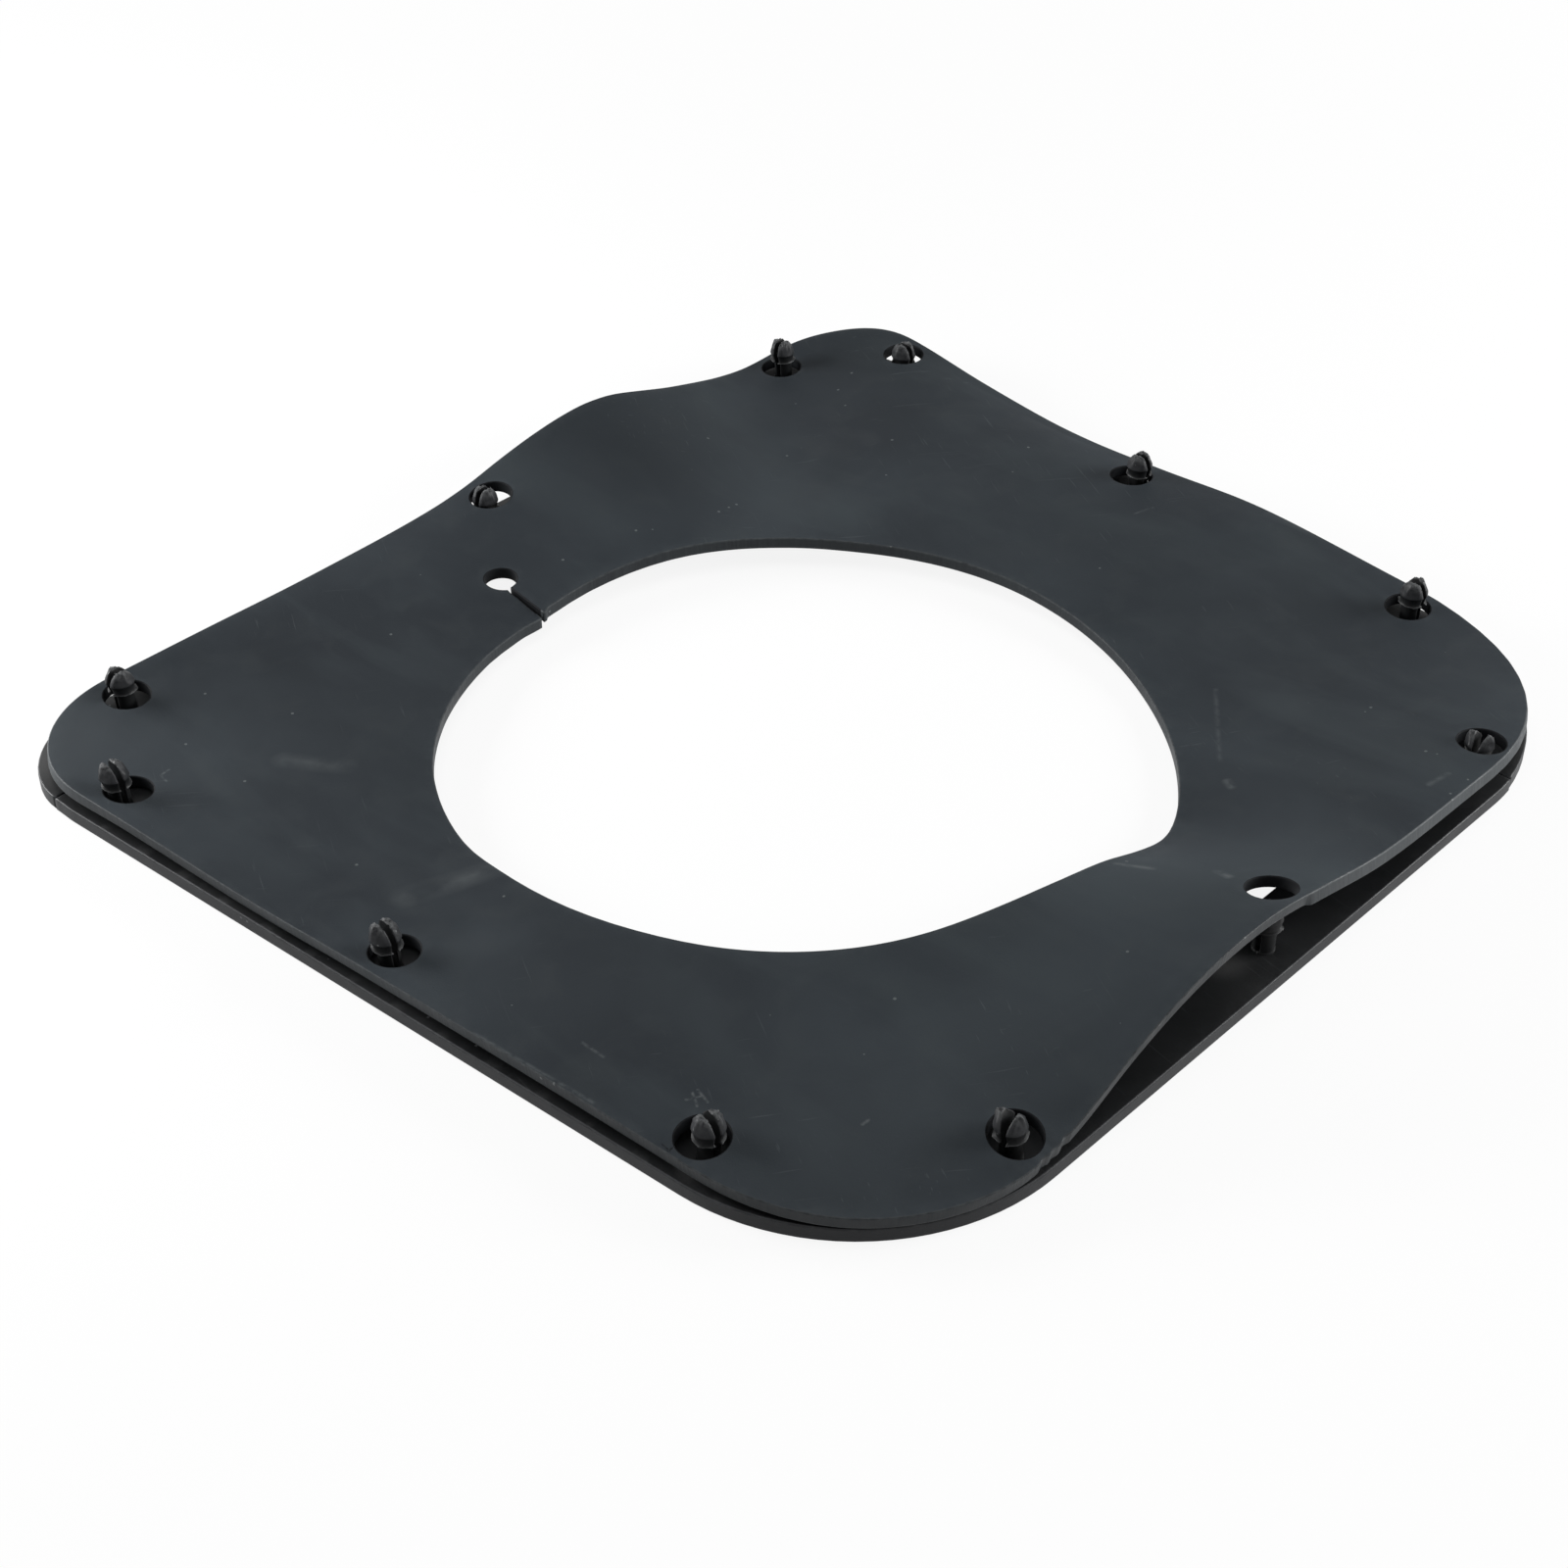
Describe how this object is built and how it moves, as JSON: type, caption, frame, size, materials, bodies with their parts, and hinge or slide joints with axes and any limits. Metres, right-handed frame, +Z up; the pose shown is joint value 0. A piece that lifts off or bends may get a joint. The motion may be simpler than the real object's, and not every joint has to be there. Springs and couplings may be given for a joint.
{
  "type": "mower bagger seal",
  "caption": "Wavy rounded trapezoid rubber sheet seal with a large round opening and a slit relief hole, lying over moulded plastic strips with split snap studs.",
  "frame": {"origin": "middle of the outline in plan, on the strips' flat underside", "axes": "+X from the wide side towards the narrow side, +Y towards the rear flank, +Z up, the way the snap studs point"},
  "size_m": [0.3008, 0.3326, 0.0275],
  "materials": {
    "rubber": "satin dark slate rubber with hazy lighter patches, pale specks and fine scuffs",
    "strip_plastic": "near black moulded plastic with a soft satin sheen"
  },
  "bodies": {
    "root": {"rubber_seal": "rubber", "front_retainer": "strip_plastic", "rear_retainer": "strip_plastic"}
  },
  "joints": []
}
